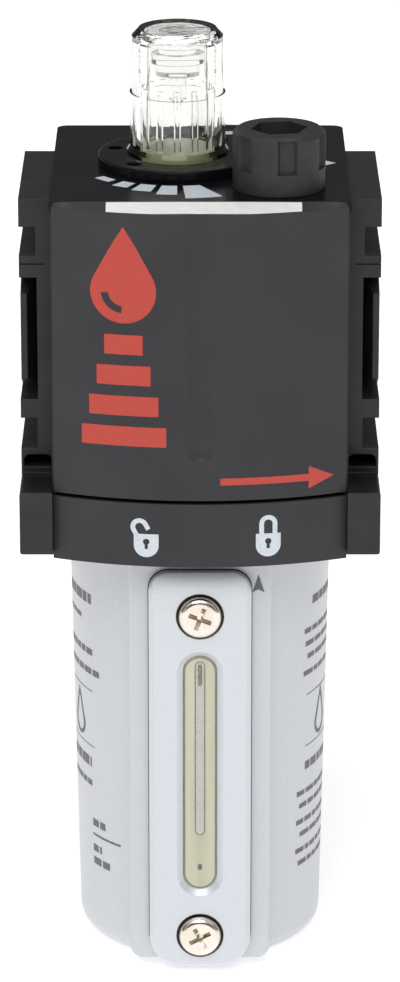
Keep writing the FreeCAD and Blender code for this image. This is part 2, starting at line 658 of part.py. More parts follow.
def slot_solid(half_x, z0, z1, y0, y1):
    """Upright slot with round ends."""
    return joined([box(-half_x, half_x, y0, y1, z0 + half_x, z1 - half_x),
                   rod_y(half_x, y0, y1, 0, z0 + half_x), rod_y(half_x, y0, y1, 0, z1 - half_x)])


def slot_wire(half_x, z0, z1, y):
    """Outline of an upright slot."""
    low = z0 + half_x
    high = z1 - half_x
    left, right = Vector(-half_x, y, low), Vector(half_x, y, low)
    top_left, top_right = Vector(-half_x, y, high), Vector(half_x, y, high)
    return Part.Wire([Part.Arc(left, Vector(0, y, z0), right).toShape(),
                      Part.makeLine(right, top_right),
                      Part.Arc(top_right, Vector(0, y, z1), top_left).toShape(),
                      Part.makeLine(top_left, left)])


def flared_slot():
    """Bevel round the window slot."""
    flare = 1.4
    wide = slot_wire(SLOT_HALF_X + flare, SLOT_Z[0] - flare, SLOT_Z[1] + flare, BEZEL_FACE_Y - 0.01)
    tight = slot_wire(SLOT_HALF_X, SLOT_Z[0], SLOT_Z[1], BEZEL_FACE_Y + 1.2)
    return Part.makeLoft([wide, tight], True, True)


def sight_glass():
    """Clear bar: flange behind the bezel, raised window and a narrow oil channel at the back."""
    flange = rounded_plate(GLASS_HALF_X, GLASS_Z[0], GLASS_Z[1], -31.6, -29.0, 2.8, 2.8)
    window = slot_solid(SLOT_HALF_X - 0.1, SLOT_Z[0] + 0.1, SLOT_Z[1] - 0.1, -33.0, -31.5)
    glass = joined([flange, window])
    channel = slot_solid(1.1, 34.6, 76.8, -31.9, -28)
    return glass.cut([channel, rod_y(1.1, -30.6, -28, 0, SIGHT_HOLE_Z[0])])


def sight_gasket():
    gasket = rounded_plate(GLASS_HALF_X, GLASS_Z[0], GLASS_Z[1], -28.95, -28.25, 2.8, 2.8)
    return gasket.cut(slot_solid(4.2, 20.5, 79.0, -30, -27))


def screw_washers():
    """Sealing washers under the two screw heads."""
    rings = [rod_y(SCREW_SEAT_R - 0.05, SCREW_SEAT_Y - 0.5, SCREW_SEAT_Y, 0, z).cut(
        rod_y(2.6, SCREW_SEAT_Y - 1, SCREW_SEAT_Y + 1, 0, z)) for z in SCREW_Z]
    return Part.makeCompound(rings)


def bezel_screws():
    """Two pan-head machine screws with cross recesses."""
    seat_y = SCREW_SEAT_Y - 0.52
    face_y = seat_y - 2.4
    screws = []
    for z, twist in zip(SCREW_Z, CROSS_TWIST):
        head = rod_y(SCREW_HEAD_R, face_y, seat_y, 0, z)
        rim = [e for e in head.Edges if abs(e.BoundBox.YMax - face_y) < 1e-6]
        head = head.makeFillet(1.5, rim)
        screw = joined([head, rod_y(2.45, seat_y - 0.1, -21.0, 0, z)])
        for turn in (twist, twist + 90):
            arm = prism([Vector(-3.9, face_y - 1.3, z - 0.5), Vector(3.9, face_y - 1.3, z - 0.5),
                         Vector(0.8, face_y + 2.0, z - 0.5), Vector(-0.8, face_y + 2.0, z - 0.5)],
                        Vector(0, 0, 1.0))
            arm.rotate(Vector(0, 0, z), ALONG_Y, turn)
            screw = screw.cut(arm)
        screws.append(screw)
    return Part.makeCompound(screws)


# ---------------------------------------------------------------- build
def build():
    front = front_cover()
    band = lock_band()
    return {
        "housing": housing(),
        "top_cap": top_cap(),
        "label_strip": label_strip(),
        "front_cover": front,
        "rear_cover": mirror_y(front),
        "front_lock_band": band,
        "rear_lock_band": mirror_y(band),
        "adjust_ring": adjust_ring(),
        "sight_dome": sight_dome(),
        "drip_nozzle": drip_nozzle(),
        "drip_funnel": drip_funnel(),
        "dome_seal": dome_seal(),
        "dome_clip": dome_clip(),
        "metering_needle": metering_needle(),
        "feed_insert": feed_insert(),
        "feed_insert_seal": feed_insert_seal(),
        "venturi_insert": venturi_insert(),
        "bypass_flap": bypass_flap(),
        "flap_pin": flap_pin(),
        "fill_plug": fill_plug(),
        "fill_plug_seal": fill_plug_seal(),
        "pressure_jet": pressure_jet(),
        "siphon_fitting": siphon_fitting(),
        "siphon_ball": siphon_ball(),
        "siphon_tube": siphon_tube(),
        "siphon_strainer": siphon_strainer(),
        "splash_baffle": splash_baffle(),
        "bowl": bowl(),
        "bowl_seal": bowl_seal(),
        "sight_bezel": sight_bezel(),
        "sight_glass": sight_glass(),
        "sight_gasket": sight_gasket(),
        "screw_washers": screw_washers(),
        "bezel_screws": bezel_screws(),
    }


os.makedirs("parts", exist_ok=True)
for node, shape in build().items():
    shape.exportStep("parts/" + node + ".step")
    print(node, shape.ShapeType, len(shape.Solids), shape.isValid(), round(shape.Volume, 1))
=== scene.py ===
"""Looks of the air line lubricator, in metres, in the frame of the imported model."""
import json
import math
import random

import bmesh
import bpy
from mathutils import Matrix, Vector
from mathutils.geometry import tessellate_polygon


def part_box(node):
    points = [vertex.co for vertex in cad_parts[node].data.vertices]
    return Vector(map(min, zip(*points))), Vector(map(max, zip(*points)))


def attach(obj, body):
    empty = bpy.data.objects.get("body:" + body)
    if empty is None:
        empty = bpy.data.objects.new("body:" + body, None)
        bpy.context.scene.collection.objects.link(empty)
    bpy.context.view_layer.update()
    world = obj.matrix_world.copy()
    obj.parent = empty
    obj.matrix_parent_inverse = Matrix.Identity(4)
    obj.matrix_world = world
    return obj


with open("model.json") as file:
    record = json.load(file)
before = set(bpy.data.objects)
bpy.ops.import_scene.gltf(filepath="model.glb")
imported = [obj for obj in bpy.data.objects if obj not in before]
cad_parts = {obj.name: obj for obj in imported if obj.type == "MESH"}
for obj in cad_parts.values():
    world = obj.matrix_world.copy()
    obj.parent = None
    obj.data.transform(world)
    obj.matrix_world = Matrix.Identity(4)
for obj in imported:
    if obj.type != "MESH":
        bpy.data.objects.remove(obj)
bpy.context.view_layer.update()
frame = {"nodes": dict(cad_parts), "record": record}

MM = 0.001
SEED = 7

# ---------------------------------------------------------------- places read from the frame
COVER_LOW, COVER_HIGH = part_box("front_cover")
BAND_LOW, BAND_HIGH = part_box("front_lock_band")
CAP_LOW, CAP_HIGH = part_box("top_cap")
RING_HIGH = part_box("adjust_ring")[1]
DOME_LOW, DOME_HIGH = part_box("sight_dome")
BEZEL_LOW, BEZEL_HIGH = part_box("sight_bezel")
HOUSING_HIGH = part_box("housing")[1]
GLASS_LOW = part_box("sight_glass")[0]
DOME_X = (DOME_LOW.x + DOME_HIGH.x) / 2

PANEL_BULGE = 6.4 * MM      # how far a cover's middle stands out past its edges
INK = 0.03 * MM             # how far printing and the painted shade patches stand off their surface
BOWL_R0 = 28.04 * MM        # bowl radius at its underside
BOWL_DRAFT = 0.01873
PAD_Y = BEZEL_HIGH.y        # flat pad that the bezel lies on
PORT_Z = 149.1 * MM
PORT_R = 9.9 * MM
THREAD_PITCH = 1.814 * MM
THREAD_DEPTH = 0.55 * MM
THREAD_TURNS = 8
WINDOW_LOW = BEZEL_LOW.z + 19.6 * MM    # ends of the painted shade rim round the clear window
WINDOW_HIGH = BEZEL_LOW.z + 76.3 * MM
CHANNEL_LOW = 34.5 * MM     # ends of the painted shade rim round the oil channel
CHANNEL_HIGH = 76.9 * MM
SCALE_R = 20.3 * MM         # inner radius of the drip-rate scale round the dome

LENS = 162.8
EYE = (0, -0.9629, 0.440)
EYE_DOWN = 19.13            # degrees that the camera looks down
SKY_LEVELS = (("From Min", 0.42), ("From Max", 0.72), ("To Min", 0.12), ("To Max", 0.6))
CLEAR_SHARE = 0.5           # least backdrop strength for rays that have passed through glass
FLOOR_SIZE = 30
FLOOR_GLOW = 0.45


# ---------------------------------------------------------------- materials
class Shader:
    """One node material built around a Principled shader."""

    def __init__(self, name, **sockets):
        self.material = bpy.data.materials.new(name)
        self.material.use_nodes = True
        self.tree = self.material.node_tree
        self.bsdf = self.tree.nodes["Principled BSDF"]
        self.normal = None
        for socket, value in sockets.items():
            self.bsdf.inputs[socket.replace("_", " ")].default_value = value

    def node(self, kind, **values):
        made = self.tree.nodes.new(kind)
        for key, value in values.items():
            made.inputs[key.replace("_", " ")].default_value = value
        return made

    def link(self, output, socket):
        self.tree.links.new(output, socket)

    def coords(self, stretch=(1, 1, 1)):
        """Object coordinates in metres, stretched along an axis for brushed or drawn marks."""
        place = self.node("ShaderNodeTexCoord").outputs["Object"]
        if stretch == (1, 1, 1):
            return place
        mapping = self.node("ShaderNodeMapping", Scale=stretch)
        self.link(place, mapping.inputs["Vector"])
        return mapping.outputs["Vector"]

    def noise(self, scale, detail=3.0, stretch=(1, 1, 1)):
        made = self.node("ShaderNodeTexNoise", Scale=scale, Detail=detail)
        self.link(self.coords(stretch), made.inputs["Vector"])
        return made.outputs["Fac"]

    def ramp(self, value, low, high, spread=(0.3, 0.7)):
        """Colour that runs from low to high with a 0 to 1 value."""
        made = self.node("ShaderNodeValToRGB")
        self.link(value, made.inputs["Fac"])
        for element, place, colour in zip(made.color_ramp.elements, spread, (low, high)):
            element.position = place
            element.color = (*colour, 1)
        return made.outputs["Color"]

    def colour(self, low, high, scale, spread=(0.3, 0.7), stretch=(1, 1, 1)):
        self.link(self.ramp(self.noise(scale, stretch=stretch), low, high, spread),
                  self.bsdf.inputs["Base Color"])

    def roughness(self, low, high, scale, stretch=(1, 1, 1)):
        made = self.node("ShaderNodeMapRange", To_Min=low, To_Max=high)
        self.link(self.noise(scale, stretch=stretch), made.inputs["Value"])
        self.link(made.outputs["Result"], self.bsdf.inputs["Roughness"])

    def soft_edges(self, radius):
        """Rounds the light on sharp moulded and cast edges."""
        made = self.node("ShaderNodeBevel", Radius=radius)
        made.samples = 4
        self.normal = made.outputs["Normal"]

    def bump(self, height, strength, distance):
        made = self.node("ShaderNodeBump", Strength=strength, Distance=distance)
        self.link(height, made.inputs["Height"])
        if self.normal:
            self.link(self.normal, made.inputs["Normal"])
        self.normal = made.outputs["Normal"]

    def done(self):
        if self.normal:
            self.link(self.normal, self.bsdf.inputs["Normal"])
        return self.material


def cast_black():
    """Black paint over a die casting: semi-gloss with a fine orange peel."""
    s = Shader("cast_black", Coat_Weight=0.1, Coat_Roughness=0.3, Specular_IOR_Level=0.35)
    s.colour((0.010, 0.0095, 0.010), (0.018, 0.017, 0.018), 140)
    s.roughness(0.30, 0.46, 260)
    s.soft_edges(0.35 * MM)
    s.bump(s.noise(1400, 5), 0.45, 0.08 * MM)
    return s.done()


def cap_plastic():
    """Black moulding with a slight sheen."""
    s = Shader("cap_plastic", Specular_IOR_Level=0.12)
    s.colour((0.005, 0.005, 0.007), (0.009, 0.008, 0.011), 90)
    s.roughness(0.15, 0.24, 300)
    s.soft_edges(0.3 * MM)
    s.bump(s.noise(5200, 3), 0.16, 0.03 * MM)
    return s.done()


def cover_plastic():
    """Dark grey moulding with a fine spark-eroded grain."""
    s = Shader("cover_plastic", Specular_IOR_Level=0.35)
    s.colour((0.0262, 0.0253, 0.0300), (0.0336, 0.0322, 0.0370), 60)
    s.roughness(0.44, 0.56, 240)
    s.soft_edges(0.3 * MM)
    s.bump(s.noise(5600, 4), 0.25, 0.035 * MM)
    return s.done()


def plug_plastic():
    """Dull charcoal glass-filled nylon."""
    s = Shader("plug_plastic", Specular_IOR_Level=0.4)
    s.colour((0.022, 0.021, 0.023), (0.033, 0.032, 0.034), 420)
    s.roughness(0.46, 0.62, 500)
    s.soft_edges(0.3 * MM)
    s.bump(s.noise(3200, 4), 0.35, 0.05 * MM)
    return s.done()


def silver_paint(name, low, high):
    """Fine metallic paint: tiny flakes under a soft clear coat."""
    s = Shader(name, Metallic=0.35, Coat_Weight=0.3, Coat_Roughness=0.25)
    s.colour(low, high, 3800, spread=(0.25, 0.75))
    s.roughness(0.34, 0.5, 1800)
    s.soft_edges(0.25 * MM)
    s.bump(s.noise(2600, 4), 0.3, 0.05 * MM)
    return s.done()


def clear_plastic():
    """Clear moulded dome: the thick foot looks yellow-green, the thin wall above almost colourless."""
    s = Shader("clear_plastic", Transmission_Weight=1.0, IOR=1.5, Roughness=0.02)
    height = s.node("ShaderNodeSeparateXYZ")
    s.link(s.coords(), height.inputs["Vector"])
    level = s.node("ShaderNodeMapRange", From_Min=RING_HIGH.z - 1 * MM, From_Max=RING_HIGH.z + 5 * MM)
    s.link(height.outputs["Z"], level.inputs["Value"])
    s.link(s.ramp(level.outputs["Result"], (0.86, 0.90, 0.60), (0.94, 0.95, 0.925), (0.0, 1.0)),
           s.bsdf.inputs["Base Color"])
    s.bump(s.noise(520, 2, (1, 1, 0.12)), 0.5, 0.16 * MM)
    return s.done()


def sight_clear():
    """Olive-tinted clear bar."""
    s = Shader("sight_clear", Transmission_Weight=0.36, IOR=1.49)
    s.colour((0.78, 0.75, 0.55), (0.92, 0.89, 0.69), 300, stretch=(1, 1, 0.06))
    s.roughness(0.03, 0.08, 120)
    s.bump(s.noise(240, 2), 0.12, 0.08 * MM)
    return s.done()


def machined(name, low, high, rough=(0.18, 0.34), stretch=(1, 1, 12)):
    """Turned or ground metal with fine tool marks."""
    s = Shader(name, Metallic=1.0)
    s.colour(low, high, 260, stretch=stretch)
    s.roughness(rough[0], rough[1], 420, stretch=stretch)
    s.soft_edges(0.15 * MM)
    s.bump(s.noise(900, 2, stretch), 0.12, 0.02 * MM)
    return s.done()


def seal_rubber():
    s = Shader("seal_rubber")
    s.colour((0.012, 0.012, 0.012), (0.022, 0.022, 0.022), 400)
    s.roughness(0.55, 0.75, 600)
    s.bump(s.noise(2600, 3), 0.3, 0.04 * MM)
    return s.done()


def tube_plastic():
    """Natural nylon: milky and slightly see-through."""
    s = Shader("tube_plastic", Subsurface_Weight=0.3, Subsurface_Radius=(0.004, 0.004, 0.003),
               Subsurface_Scale=1.0)
    s.colour((0.70, 0.69, 0.62), (0.80, 0.79, 0.73), 90)
    s.roughness(0.3, 0.42, 300)
    s.bump(s.noise(1200, 2), 0.15, 0.03 * MM)
    return s.done()


def ink(name, low, high):
    """Screen-printed ink, slightly uneven; also used for the painted shade patches on the sight glass.
    """
    s = Shader(name)
    s.colour(low, high, 1500)
    s.roughness(0.42, 0.58, 900)
    s.bump(s.noise(4200, 3), 0.2, 0.01 * MM)
    return s.done()


def label_film():
    s = Shader("label_film", Coat_Weight=0.4, Coat_Roughness=0.2)
    s.colour((0.86, 0.86, 0.87), (0.92, 0.92, 0.92), 500)
    s.roughness(0.3, 0.4, 300)
    s.bump(s.noise(700, 2), 0.1, 0.01 * MM)
    return s.done()


MATERIALS = {
    "cast_black": cast_black(),
    "cap_plastic": cap_plastic(),
    "cover_plastic": cover_plastic(),
    "moulded_black": plug_plastic(),
    "label_film": label_film(),
    "clear_plastic": clear_plastic(),
    "seal_rubber": seal_rubber(),
    "spring_steel": machined("spring_steel", (0.42, 0.42, 0.43), (0.52, 0.52, 0.53)),
    "steel": machined("steel", (0.55, 0.55, 0.56), (0.66, 0.66, 0.66)),
    "brass": machined("brass", (0.62, 0.45, 0.19), (0.74, 0.56, 0.27)),
    "tube_plastic": tube_plastic(),
    "silver_paint": silver_paint("silver_paint", (0.54, 0.555, 0.585), (0.64, 0.655, 0.685)),
    "bezel_paint": silver_paint("bezel_paint", (0.60, 0.62, 0.66), (0.70, 0.72, 0.76)),
    "sight_clear": sight_clear(),
    "screw_nickel": machined("screw_nickel", (0.72, 0.64, 0.55), (0.84, 0.77, 0.69),
                             rough=(0.12, 0.24), stretch=(1, 1, 1)),
}
# Print colours, and the painted shade colours used on the sight glass.
INKS_AND_PAINTED_SHADES = {
    "red": ink("ink_red", (0.47, 0.046, 0.029), (0.52, 0.056, 0.036)),
    "pale": ink("ink_pale", (0.56, 0.62, 0.68), (0.66, 0.71, 0.76)),
    "grey": ink("ink_grey", (0.11, 0.11, 0.115), (0.16, 0.16, 0.165)),
    # Painted shade on the sight glass: dark olive rims and a grey tone that stand in for light bent by
    # the glass.
    "olive": ink("painted_edge_shade_olive", (0.17, 0.165, 0.11), (0.26, 0.25, 0.18)),
    "painted_grey_shade": ink("channel_painted_shade", (0.47, 0.46, 0.42), (0.54, 0.53, 0.49)),
}


def dress_nodes():
    """Gives each CAD node the material of its slot."""
    slots = {entry["node"]: entry["material_slot"] for entry in frame["record"]["subparts"]}
    for name, node in frame["nodes"].items():
        node.data.materials.clear()
        node.data.materials.append(MATERIALS[slots[name]])


# ---------------------------------------------------------------- printed marks
def cover_surface(low, high, side=-1):
    """Place (x, z, height) on the arched outside of a cover or band."""
    chord = (high.x - low.x) / 2
    radius = (chord ** 2 + PANEL_BULGE ** 2) / (2 * PANEL_BULGE)
    crown = low.y if side < 0 else high.y

    def place(x, z, height):
        lean = math.asin(x / radius)
        centre_y = crown - side * radius
        reach = radius + height
        return Vector((reach * math.sin(lean), centre_y + side * reach * math.cos(lean), z))
    return place


def bowl_surface(x_angle, z, height):
    """Place on the drafted bowl: angle in degrees from -Y towards +X."""
    radius = BOWL_R0 + BOWL_DRAFT * z + height
    a = math.radians(x_angle)
    return Vector((radius * math.sin(a), -radius * math.cos(a), z))


def pad_surface(x, z, height):
    return Vector((x, PAD_Y - height, z))


def sight_surface(x, z, height):
    return Vector((x, GLASS_LOW.y - height, z))


def over_sight(x, z, height):
    return sight_surface(x, z, height + 0.04 * MM)


def deck_surface(x, y, height):
    return Vector((x, y, CAP_HIGH.z + height))


def ink_or_painted_shade_patch(name, loops, place, body, material, step):
    """Thin closed patch of ink, or of painted shade on the sight glass. loops is the outline, then any
    holes, as (u, v) points.
    """
    points = [Vector((u, v, 0)) for loop in loops for u, v in loop]
    flat = bmesh.new()
    verts = [flat.verts.new(p) for p in points]
    outlines = [[Vector((u, v, 0)) for u, v in loop] for loop in loops]
    for tri in tessellate_polygon(outlines):
        if len(set(tri)) == 3:
            flat.faces.new([verts[i] for i in tri])
    us = [p.x for p in points]
    cut = min(us) + step
    while cut < max(us):
        geometry = list(flat.verts) + list(flat.edges) + list(flat.faces)
        bmesh.ops.bisect_plane(flat, geom=geometry, plane_co=(cut, 0, 0), plane_no=(1, 0, 0))
        cut += step
    bmesh.ops.recalc_face_normals(flat, faces=flat.faces)
    solid = bmesh.new()
    top = {v: solid.verts.new(place(v.co.x, v.co.y, INK)) for v in flat.verts}
    base = {v: solid.verts.new(place(v.co.x, v.co.y, -INK)) for v in flat.verts}
    for face in flat.faces:
        solid.faces.new([top[v] for v in face.verts])
        solid.faces.new([base[v] for v in reversed(face.verts)])
    for edge in flat.edges:
        if edge.is_boundary:
            a, b = edge.verts
            solid.faces.new([top[a], top[b], base[b], base[a]])
    bmesh.ops.recalc_face_normals(solid, faces=solid.faces)
    mesh = bpy.data.meshes.new(name)
    solid.to_mesh(mesh)
    flat.free()
    solid.free()
    piece = bpy.data.objects.new(name, mesh)
    bpy.context.scene.collection.objects.link(piece)
    mesh.materials.append(material)
    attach(piece, body)
    return piece


def circle(cx, cy, r, start=0, end=360, steps=28):
    return [(cx + r * math.cos(math.radians(start + (end - start) * i / steps)),
             cy + r * math.sin(math.radians(start + (end - start) * i / steps)))
            for i in range(steps + (end - start != 360))]


def rectangle(u0, v0, u1, v1):
    return [(u0, v0), (u1, v0), (u1, v1), (u0, v1)]


def upright_slot(half, low, high):
    return circle(0, low + half, half, 180, 360, 14) + circle(0, high - half, half, 0, 180, 14)


def drop_outline(cx, cy, r, height, steps=26):
    """Oil drop: round below, pointed above."""
    points = circle(cx, cy, r, 150, 390, steps)
    return points + [(cx + r * 0.35, cy + height * 0.72), (cx, cy + height),
                     (cx - r * 0.35, cy + height * 0.72)]


def padlock(name, cx, z0, opened):
    """Plain padlock mark: rounded body with a keyhole, and a shackle, which leans when open."""
    place = cover_surface(BAND_LOW, BAND_HIGH)
    w = 2.75 * MM
    body_top = z0 + 5.4 * MM
    outline = circle(cx, z0 + w, w, 180, 360, 18) + [(cx + w, body_top), (cx - w, body_top)]
    keyhole = circle(cx, z0 + 3.6 * MM, 0.72 * MM, -60, 240, 14)
    keyhole += [(cx - 0.35 * MM, z0 + 1.9 * MM), (cx + 0.35 * MM, z0 + 1.9 * MM)]
    ink_or_painted_shade_patch(name + "_body", [outline, keyhole], place, "body", INKS_AND_PAINTED_SHADES["pale"], 1 * MM)
    outer, inner = 2.0 * MM, 0.95 * MM
    rise = 2.3 * MM
    shackle = [(outer, -0.05 * MM)] + circle(0, rise, outer, 0, 180, 18) + [(-outer, -0.05 * MM)]
    shackle += [(-inner, -0.05 * MM)] + circle(0, rise, inner, 180, 0, 18) + [(inner, -0.05 * MM)]
    if opened:
        free_end = 0.9 * MM
        shackle = [(u, max(v, free_end) if u > 0 else v) for u, v in shackle]
        lean = math.radians(28)
        pivot = (cx - 0.4 * MM, body_top - 0.4 * MM)
        shackle = [(pivot[0] + u * math.cos(lean) - v * math.sin(lean),
                    pivot[1] + u * math.sin(lean) + v * math.cos(lean)) for u, v in shackle]
    else:
        shackle = [(cx + u, body_top + v) for u, v in shackle]
    ink_or_painted_shade_patch(name + "_shackle", [shackle], place, "body", INKS_AND_PAINTED_SHADES["pale"], 1 * MM)


def cover_marks():
    """Red graphics on the front cover: an oil drop over level bars, and a flow arrow."""
    place = cover_surface(COVER_LOW, COVER_HIGH)
    left, right = -26.0 * MM, -7.4 * MM
    middle = (left + right) / 2
    top = COVER_HIGH.z - 4.4 * MM
    drop_r = 7.2 * MM
    drop_z = top - 14.6 * MM
    outline = drop_outline(middle, drop_z, drop_r, 14.6 * MM)
    gleam = circle(middle, drop_z, 4.9 * MM, 185, 265, 14)
    gleam += circle(middle, drop_z, 3.3 * MM, 265, 185, 14)
    ink_or_painted_shade_patch("mark_drop", [outline, gleam], place, "body", INKS_AND_PAINTED_SHADES["red"], 2 * MM)
    bar_top = drop_z - drop_r - 2.6 * MM
    for i in range(4):
        z1 = bar_top - i * 7.0 * MM
        inset = (3 - i) * 1.7 * MM
        bar = rectangle(left + inset, z1 - 4.5 * MM, right - inset, z1)
        ink_or_painted_shade_patch("mark_bar_%d" % (i + 1), [bar], place, "body", INKS_AND_PAINTED_SHADES["red"], 2 * MM)
    z = COVER_LOW.z + 4.4 * MM
    shaft = rectangle(4.5 * MM, z - 0.8 * MM, 24.0 * MM, z + 0.8 * MM)
    ink_or_painted_shade_patch("mark_flow_shaft", [shaft], place, "body", INKS_AND_PAINTED_SHADES["red"], 2 * MM)
    head = [(24.0 * MM, z - 2.6 * MM), (29.6 * MM, z), (24.0 * MM, z + 2.6 * MM)]
    ink_or_painted_shade_patch("mark_flow_head", [head], place, "body", INKS_AND_PAINTED_SHADES["red"], 1 * MM)


def deck_marks():
    """Pale drip-rate scale round the dome, growing towards more oil."""
    wedges = [(36.5, 48.0, 22.7, 0), (54.0, 63.0, 24.4, 0), (67.0, 77.0, 25.7, 0),
              (80.4, 90.0, 27.6, 0), (93.5, 104.0, 30.6, 5.0)]
    limit = CAP_LOW.y + 0.5 * MM
    for i, (start, end, reach, flare) in enumerate(wedges):
        near = circle(DOME_X, 0, SCALE_R, 180 + start, 180 + end, 6)
        far = [(x, max(y, limit))
               for x, y in circle(DOME_X, 0, reach * MM, 180 + end + flare, 180 + start, 6)]
        ink_or_painted_shade_patch("scale_mark_%d" % (i + 1), [near + far], deck_surface, "body", INKS_AND_PAINTED_SHADES["pale"],
                4 * MM)
    tip_x, tip_y = 30.4 * MM, -0.8 * MM
    drop = [(x, y) for y, x in drop_outline(tip_y, tip_x - 5.4 * MM, 3.5 * MM, 5.4 * MM)]
    ink_or_painted_shade_patch("deck_drop", [drop], deck_surface, "body", INKS_AND_PAINTED_SHADES["pale"], 2 * MM)
    ink_or_painted_shade_patch("deck_dash", [rectangle(5.6 * MM, 24.6 * MM, 8.4 * MM, 27.4 * MM)], deck_surface,
            "body", INKS_AND_PAINTED_SHADES["pale"], 4 * MM)


def greek_row(name, start, end, z, height, rng, word=(3.5, 8.0)):
    """A row of short dashes that stands for small print. Angles are in degrees round the bowl."""
    at = start
    n = 0
    while at < end - 1.0:
        long = min(rng.uniform(*word), end - at)
        ink_or_painted_shade_patch("%s_%d" % (name, n), [rectangle(at, z, at + long, z + height)], bowl_surface,
                "bowl", INKS_AND_PAINTED_SHADES["grey"], 2.0)
        at += long + 1.2
        n += 1


def bowl_marks():
    """Generic markings on the bowl: rows of dashes, rules, drops, a level line and the lock arrow."""
    rng = random.Random(SEED)
    left = [(-84, -57, 84.2, 2.4), (-84, -65, 79.6, 1.1), (-84, -55, 71.6, 1.5), (-84, -52, 66.8, 1.5),
            (-84, -60, 43.6, 2.4), (-84, -58, 38.8, 1.4), (-60, -50, 29.0, 1.8), (-60, -53, 22.6, 1.8),
            (-60, -46, 19.4, 1.8)]
    right = [(60, 84, 84.0, 2.0), (54, 84, 77.4, 1.2), (55, 84, 74.2, 1.2), (57, 84, 71.0, 1.2),
             (54, 84, 67.0, 1.2), (57, 84, 43.4, 2.0), (51, 84, 37.4, 1.2), (53, 84, 34.2, 1.2),
             (51, 84, 30.2, 1.2), (54, 84, 27.0, 1.2), (51, 84, 23.0, 1.2), (53, 84, 19.8, 1.2)]
    for side, rows in (("left", left), ("right", right)):
        for i, (start, end, z, height) in enumerate(rows):
            greek_row("print_%s_%d" % (side, i + 1), start, end, z * MM, height * MM, rng)
    rules = [(-84, -58, 62.6), (-84, -57, 48.8), (57, 84, 62.0), (57, 84, 49.2), (-60, -40, 26.6)]
    for i, (start, end, z) in enumerate(rules):
        thick = (0.55 if z < 30 else 0.22) * MM
        ink_or_painted_shade_patch("print_rule_%d" % (i + 1), [rectangle(start, z * MM, end, z * MM + thick)],
                bowl_surface, "bowl", INKS_AND_PAINTED_SHADES["grey"], 2.0)
    degree = 1 / math.radians(1) / (BOWL_R0 + BOWL_DRAFT * 0.055)
    for side, angle in (("left", -72.0), ("right", 72.0)):
        r, tall, low = 3.3 * MM, 8.6 * MM, 53.4 * MM
        outline = [(angle + u * degree, v) for u, v in drop_outline(0, low, r, tall)]
        hole = [(angle + u * degree, v) for u, v in drop_outline(0, low, r * 0.7, tall * 0.78)]
        ink_or_painted_shade_patch("print_drop_" + side, [outline, hole], bowl_surface, "bowl", INKS_AND_PAINTED_SHADES["grey"],
                2.0)
    x, z = 13.1 * MM, 92.4 * MM
    arrow = [(x - 1.4 * MM, z), (x, z + 0.7 * MM), (x + 1.4 * MM, z), (x, z + 4.3 * MM)]
    ink_or_painted_shade_patch("lock_arrow", [arrow], pad_surface, "bowl", INKS_AND_PAINTED_SHADES["grey"], 4 * MM)


# ---------------------------------------------------------------- sight glass
def plate(name, outline, y_front, y_back, material):
    """Thin closed plate on the bowl's front, cut to an (x, z) outline."""
    solid = bmesh.new()
    front = [solid.verts.new((x, y_front, z)) for x, z in outline]
    back = [solid.verts.new((x, y_back, z)) for x, z in outline]
    solid.faces.new(front)
    solid.faces.new(list(reversed(back)))
    for i, vert in enumerate(front):
        j = (i + 1) % len(front)
        solid.faces.new([vert, back[i], back[j], front[j]])
    bmesh.ops.recalc_face_normals(solid, faces=solid.faces)
    mesh = bpy.data.meshes.new(name)
    solid.to_mesh(mesh)
    solid.free()
    piece = bpy.data.objects.new(name, mesh)
    bpy.context.scene.collection.objects.link(piece)
    mesh.materials.append(material)
    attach(piece, "bowl")


